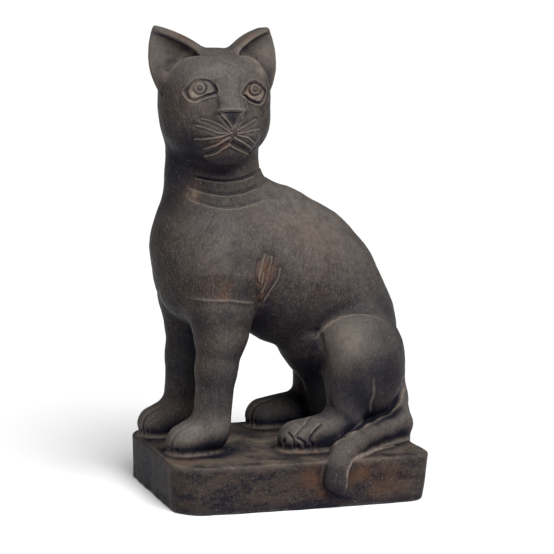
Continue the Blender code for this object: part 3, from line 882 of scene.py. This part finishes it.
# Millimetres in the figure: centre, radius, and how strong.
spots = {
    "rust": [
        (8, -163, -20, 13, 0.65),
        (20, -163, -38, 9, 0.5),
        (60, -168, -20, 9, 0.8),
        (76, -165, -16, 12, 0.45),
        (106, -165, -30, 22, 0.25),
        (-7, -98, 6, 6, 0.8),
        (9, -111, 3, 7, 1.0),
        (29, -111, 0, 8, 0.9),
        (-83, -100, 218, 9, 0.3),
        (-88, -100, 206, 9, 0.4),
        (-29, -81, 230, 16, 0.7),
        (-30, -74, 198, 8, 0.8),
        (-128, -35, 522, 17, 0.75),
        (-29, -37, 520, 12, 0.65),
        (-93, -110, 396, 9, 0.6),
        (-113, -48, 332, 12, 0.6),
        (-52, -88, 459, 6, 1.0),
        (48, -70, 270, 40, 0.2),
        (-140, -100, 0, 20, 0.5),
    ],
    "dusty": [
        (-116, -47, 506, 9, 0.6),
        (-131, -37, 498, 9, 0.9),
        (-143, -29, 484, 9, 0.8),
        (-49, -55, 506, 9, 0.7),
        (-35, -54, 498, 9, 0.9),
        (-28, -67, 484, 8, 0.7),
        (-121, -81, 458, 5, 0.9),
        (-140, -27, 505, 20, 0.4),
        (-14, -33, 504, 17, 0.65),
        (-36, -50, 515, 9, 0.8),
        (-34, -48, 503, 8, 1.0),
        (-120, -80, 453, 8, 0.7),
        # a painted highlight on the thigh
        (74, -97, 142, 24, 0.35),
        (-114, -48, 330, 9, 0.6),
    ],
    # paler stone on the projecting forms: worn by hands, and painted highlights where the light falls on the
    # chest, forehead, thigh, paw, back and plinth top
    "rubbedAndHighlight": [
        (-95, -78, 275, 42, 0.25),
        (-93, -82, 482, 36, 0.55),
        (-80, -105, 440, 18, 0.6),
        (74, -97, 142, 32, 1.0),
        (-128, -80, 34, 24, 0.9),
        (-140, -27, 506, 24, 1.0),
        (-14, -33, 503, 22, 1.0),
        (26, -59, 300, 60, 0.6),
        (80, -63, 266, 42, 0.4),
        (-86, -94, 150, 22, 0.4),
        (80, -60, 0, 60, 0.7),
        (-40, -60, 0, 80, 0.7),
    ],
    # painted shade: on the sides turned from the light, the nose's leather, under the head, between and
    # behind the legs, the rump and the plinth's end
    "paintedShade": [
        (-80, -112, 431, 9, 0.9),
        (-122, -40, 398, 26, 0.6),
        (-136, -40, 420, 26, 0.5),
        (-124, -40, 524, 11, 0.6),
        (-130, -23, 370, 52, 0.9),
        (-137, -16, 320, 34, 0.6),
        (-140, -10, 270, 34, 0.4),
        (-66, -95, 248, 18, 0.5),
        (-60, -97, 200, 20, 0.6),
        (-119, -75, 174, 22, 0.5),
        (-81, -102, 182, 13, 0.4),
        (85, -106, 76, 42, 0.85),
        (125, -110, 95, 38, 0.95),
        (-108, 38, 100, 70, 0.65),
        (-118, -70, 385, 30, 0.8),
        (150, -60, 150, 50, 0.8),
        (47, -58, 125, 14, 0.9),
        (48, -44, 96, 30, 1.0),
        (54, -1, 66, 40, 1.0),
        (9, 50, 22, 34, 0.6),
        (31, -178, -16, 22, 0.75),
        (-164, 0, -36, 60, 0.95),
        (-150, -70, -30, 30, 0.5),
        (-92, -86, 85, 34, 0.6),
        (121, -106, 148, 24, 0.45),
        (-148, -24, 275, 30, 0.35),
        (113, -105, 29, 20, 0.3),
    ],
}


def plinthShare(mesh):
    points = readPoints(mesh)
    others = smoothMin(figure(toFigure(points)) * mm, tail(points), 0.002)
    return 1.0 - ramp(plinth(points) - others, -0.006, 0.0)


def spotShare(mesh, name):
    q = toFigure(readPoints(mesh))
    found = np.zeros(len(q))
    for x, y, z, radius, strength in spots[name]:
        found = np.maximum(found, strength * np.exp(-np.square(lengths(q - np.array((x, y, z))) / radius)))
    return found


def makeStatue():
    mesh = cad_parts["cat_statue"].data.copy()
    mesh.materials.clear()
    reshape(mesh, lambda bm: bmesh.ops.remove_doubles(bm, verts=bm.verts, dist=1e-6))
    block = bpy.data.objects.new("carvedCat", mesh)
    bpy.context.scene.collection.objects.link(block)
    remesh(block, statue["roughGrid"])
    drawOnto(block.data, 3, 0.004)
    relax(block.data, 2)
    drawOnto(block.data, 1)
    print("statue roughed out,", len(block.data.vertices), "points")
    remesh(block, statue["fineGrid"])
    drawOnto(block.data, 1)
    relax(block.data, 1)
    refine(block.data)
    drawOnto(block.data, 1)
    mesh = block.data
    points = readPoints(mesh)
    depth, worn, chipped = carving(points)
    depth += handWork(points, chipped)
    storeShare(mesh, "worn", worn)
    points = points - readNormals(mesh) * depth[:, None]
    points[:, 2] = np.maximum(points[:, 2], 0.0)
    writePoints(mesh, points)
    print("statue carved,", len(mesh.vertices), "points")
    storeShare(mesh, "edge", -creases(mesh) / 0.0003)  # full where an edge stands 0.3 mm proud
    mesh.calc_loop_triangles()
    thin = block.modifiers.new("thin", "DECIMATE")
    thin.ratio = min(1.0, statue["triangles"] / len(mesh.loop_triangles))
    settle(block)
    mesh = block.data
    # free room around the stone, which sets where wax and painted shade darken it
    storeShare(mesh, "open", openness(mesh))
    storeShare(mesh, "plinth", plinthShare(mesh))
    for name in spots:
        storeShare(mesh, name, spotShare(mesh, name))
    mesh.shade_smooth()
    print("statue thinned,", len(mesh.polygons), "faces")
    return block


cat = makeStatue()


def toLinear(hexColour):
    channels = [int(hexColour[i : i + 2], 16) / 255.0 for i in (1, 3, 5)]
    return (*[c / 12.92 if c <= 0.04045 else ((c + 0.055) / 1.055) ** 2.4 for c in channels], 1.0)


def addNode(tree, kind, settings=None, links=None):
    node = tree.nodes.new(kind)
    for key, value in (settings or {}).items():
        if isinstance(key, int) or key in node.inputs:
            node.inputs[key].default_value = value
        else:
            setattr(node, key, value)
    for key, source in (links or {}).items():
        tree.links.new(source, node.inputs[key])
    return node


stone = {
    "colours": {
        "grey": "#3f3c3b",
        "brown": "#3c322d",
        "earth": "#372f2b",
        # near-black wax, also laid on as painted shade in the recesses, on the undersides and in the shaded
        # spots
        "waxAndShade": "#0a0c1b",
        # paler stone worn by hands, also laid on as painted light on the upward faces and as painted
        # highlights
        "rubbedAndHighlight": "#6f6963",
        "dust": "#8c7f73",
        "rust": "#5f3f2a",
    },
    # size in millimetres, detail, roughness, and a squeeze along each axis; the grain and the scratches of
    # the real stone are about half this size, too fine to show
    "patterns": {
        "patches": (75.0, 5.0, 0.6, (1.0, 1.0, 1.0)),
        "blotches": (24.0, 5.0, 0.7, (1.0, 1.0, 1.0)),
        "streaks": (22.0, 6.0, 0.72, (0.6, 0.6, 1.5)),
        "mottle": (7.0, 4.0, 0.65, (1.0, 1.0, 1.0)),
        "flecks": (3.0, 4.0, 0.8, (1.0, 1.0, 1.0)),
        "specks": (2.8, 1.0, 0.4, (1.0, 1.0, 1.0)),
        "scratches": (2.2, 3.0, 0.6, (1.0, 1.0, 0.28)),
        "grain": (1.6, 2.0, 0.6, (1.0, 1.0, 1.0)),
    },
    # Each coat has masks that let it through. A mask is a pattern or a share stored on the mesh, the two
    # values between which it runs, and how much it lets through at each.
    "figureCoats": [
        ("brown", [("patches", 0.42, 0.60, 0.0, 1.0)]),
        # painted light: the figure grows paler the more it faces up
        ("rubbedAndHighlight", [("upward", -0.1, 0.75, 0.0, 1.0), ("mottle", 0.25, 0.8, 0.12, 0.66)]),
        # paler stone worn by hands, and painted highlights, in the listed spots
        ("rubbedAndHighlight", [("rubbedAndHighlight", 0.0, 1.0, 0.0, 1.0), ("mottle", 0.2, 0.8, 0.5, 1.0)]),
        ("waxAndShade", [("mottle", 0.42, 0.70, 0.0, 0.45)]),
        ("waxAndShade", [("scratches", 0.5, 0.72, 0.0, 0.35)]),
        ("waxAndShade", [("blotches", 0.48, 0.64, 0.0, 0.35)]),
        ("dust", [("scratches", 0.44, 0.30, 0.0, 0.16)]),
        ("rubbedAndHighlight", [("flecks", 0.50, 0.66, 0.0, 0.4)]),
    ],
    "plinthCoats": [
        ("waxAndShade", [("streaks", 0.44, 0.60, 0.0, 0.8)]),
        ("rubbedAndHighlight", [("flecks", 0.50, 0.66, 0.0, 0.25)]),
        ("brown", [("mottle", 0.5, 0.7, 0.0, 0.7)]),
    ],
    "coats": [
        # dust on the plinth's top, laid on the more it faces up, and so also painted light from above
        (
            "dust",
            [
                ("plinth", 0.0, 1.0, 0.0, 1.0),
                ("upward", 0.5, 0.95, 0.0, 1.0),
                ("streaks", 0.38, 0.62, 0.30, 0.05),
            ],
        ),
        ("rust", [("rust", 0.0, 1.0, 0.0, 1.0), ("mottle", 0.3, 0.6, 0.3, 1.0)]),
        # painted shade in the listed spots
        ("waxAndShade", [("paintedShade", 0.0, 1.0, 0.0, 1.0), ("mottle", 0.25, 0.75, 1.0, 0.6)]),
        # near-black wax left in the hollows, and painted shade: the less room stands free around the stone,
        # the darker
        ("waxAndShade", [("open", 0.84, 0.34, 0.0, 0.92)]),
        # painted shade on the undersides: the more the stone faces down, the darker
        ("waxAndShade", [("upward", 0.05, -0.60, 0.0, 0.48)]),
        ("rubbedAndHighlight", [("edge", 0.0, 1.0, 0.0, 0.6), ("grain", 0.35, 0.6, 0.0, 1.0)]),
        ("dust", [("worn", 0.0, 1.0, 0.0, 0.75), ("mottle", 0.30, 0.55, 0.25, 1.0)]),
        ("dust", [("dusty", 0.0, 1.0, 0.0, 0.75), ("mottle", 0.30, 0.55, 0.25, 1.0)]),
        ("dust", [("specks", 0.765, 0.80, 0.0, 0.6)]),
    ],
    "roughness": (0.36, 0.58),
    "ior": 1.10,  # under that of stone, because its open pores mirror next to nothing of the white floor
    "bumps": (("grain", 0.5, 0.0005), ("mottle", 0.4, 0.0008)),  # strength and height
}


def makeStone():
    # Weathered basalt, rasped smooth and rubbed with dark wax: the eye sees a fine grain, paler stone where
    # hands rub and painted highlights on the forms the light catches, near-black wax and painted shade in
    # the recesses, painted shade on the undersides and the sides turned from the light, dust on the carved
    # edges and iron bleeding through.
    material = bpy.data.materials.new("weathered basalt, rasped and waxed")
    material.use_nodes = True
    tree = material.node_tree
    shader = tree.nodes["Principled BSDF"]
    place = addNode(tree, "ShaderNodeTexCoord").outputs["Object"]
    facing = addNode(tree, "ShaderNodeNewGeometry").outputs["Normal"]
    masks = {"upward": addNode(tree, "ShaderNodeSeparateXYZ", {}, {0: facing}).outputs["Z"]}
    for name, (size, detail, rough, squeeze) in stone["patterns"].items():
        spot = addNode(tree, "ShaderNodeMapping", {"Scale": squeeze}, {"Vector": place}).outputs[0]
        settings = {"Scale": 1000.0 / size, "Detail": detail, "Roughness": rough}
        masks[name] = addNode(tree, "ShaderNodeTexNoise", settings, {"Vector": spot}).outputs["Fac"]
    for name in ("worn", "edge", "open", "plinth", *spots):
        masks[name] = addNode(tree, "ShaderNodeAttribute", {"attribute_name": name}).outputs["Fac"]

    def coated(colour, coats):
        for name, through in coats:
            share = None
            for mask, low, high, start, end in through:
                settings, above = {1: low, 2: high, 3: start, 4: end}, share
                share = addNode(tree, "ShaderNodeMapRange", settings, {0: masks[mask]}).outputs[0]
                if above is not None:
                    product = {0: above, 1: share}
                    share = addNode(tree, "ShaderNodeMath", {"operation": "MULTIPLY"}, product).outputs[0]
            settings = {"data_type": "RGBA", 7: toLinear(stone["colours"][name])}
            colour = addNode(tree, "ShaderNodeMix", settings, {0: share, 6: colour}).outputs[2]
        return colour

    bare = {}
    for name in ("grey", "earth"):
        bare[name] = addNode(tree, "ShaderNodeRGB").outputs[0]
        bare[name].default_value = toLinear(stone["colours"][name])
    halves = {6: coated(bare["grey"], stone["figureCoats"]), 7: coated(bare["earth"], stone["plinthCoats"])}
    both = addNode(tree, "ShaderNodeMix", {"data_type": "RGBA"}, {0: masks["plinth"], **halves})
    tree.links.new(coated(both.outputs[2], stone["coats"]), shader.inputs["Base Color"])
    smooth, rough = stone["roughness"]
    settings = {1: 0.3, 2: 0.7, 3: smooth, 4: rough}
    dullness = addNode(tree, "ShaderNodeMapRange", settings, {0: masks["mottle"]})
    tree.links.new(dullness.outputs[0], shader.inputs["Roughness"])
    shader.inputs["IOR"].default_value = stone["ior"]
    relief = {}
    for name, strength, height in stone["bumps"]:
        settings = {"Strength": strength, "Distance": height}
        bump = addNode(tree, "ShaderNodeBump", settings, {"Height": masks[name], **relief})
        relief = {"Normal": bump.outputs[0]}
    tree.links.new(relief["Normal"], shader.inputs["Normal"])
    return material


cat.data.materials.append(makeStone())
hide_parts("cat_statue")
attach(cat, "root")
print("stone finished")

studio = {
    "floorSize": 90.0,
    "floor": "#ffffff",
    "cameraYaw": 18.0,  # degrees to the left of straight on
    "cameraDistance": 2.8,
    "cameraHeight": 0.68,
    "aim": (-0.0018, -0.0060, 0.2775),
    "focal": 2189.8,  # of a picture 554 wide, in its pixels
    "sky": 0.14,
    # kind, place, strength, and size: an angle or a width
    "lights": {
        "sun": ("SUN", (0.2, -1.5, 2.3), 3.6, math.radians(50.0)),
        "key": ("AREA", (0.2, -1.9, 1.7), 16.0, 0.9),
    },
    "lightsAim": (0.0, 0.0, 0.3),
}


def makeFloor():
    mesh = bpy.data.meshes.new("floor")
    bm = bmesh.new()
    bmesh.ops.create_grid(bm, x_segments=8, y_segments=8, size=studio["floorSize"] / 2)
    bm.to_mesh(mesh)
    bm.free()
    material = bpy.data.materials.new("pale studio floor")
    material.use_nodes = True
    shader = material.node_tree.nodes["Principled BSDF"]
    shader.inputs["Base Color"].default_value = toLinear(studio["floor"])
    shader.inputs["Roughness"].default_value = 0.9
    shader.inputs["Specular IOR Level"].default_value = 0.1
    mesh.materials.append(material)
    floor = bpy.data.objects.new("floor", mesh)
    bpy.context.scene.collection.objects.link(floor)


def pointAt(thing, target):
    thing.rotation_euler = (Vector(target) - thing.location).to_track_quat("-Z", "Y").to_euler()


def makeLight(name, kind, place, power, size):
    light = bpy.data.lights.new(name, kind)
    light.energy = power
    if kind == "SUN":
        light.angle = size
    else:
        light.size = size
    lamp = bpy.data.objects.new(name, light)
    lamp.location = place
    pointAt(lamp, studio["lightsAim"])
    bpy.context.scene.collection.objects.link(lamp)


def makeCamera():
    yaw, distance = math.radians(studio["cameraYaw"]), studio["cameraDistance"]
    aim = Vector(studio["aim"])
    lens = bpy.data.cameras.new("camera")
    lens.sensor_width = 36.0
    lens.lens = studio["focal"] * 36.0 / 554.0
    lens.clip_end = 200.0
    camera = bpy.data.objects.new("camera", lens)
    away = Vector((-math.sin(yaw) * distance, -math.cos(yaw) * distance))
    camera.location = (aim.x + away.x, aim.y + away.y, studio["cameraHeight"])
    pointAt(camera, aim)
    bpy.context.scene.collection.objects.link(camera)
    bpy.context.scene.camera = camera


makeFloor()
makeCamera()
for name, (kind, place, power, size) in studio["lights"].items():
    makeLight(name, kind, place, power, size)
world = bpy.data.worlds.new("studio")
world.use_nodes = True
sky = world.node_tree.nodes["Background"]
sky.inputs["Color"].default_value = (1.0, 1.0, 1.0, 1.0)
sky.inputs["Strength"].default_value = studio["sky"]
bpy.context.scene.world = world
bpy.context.scene.view_settings.view_transform = "Standard"
print("studio set up")
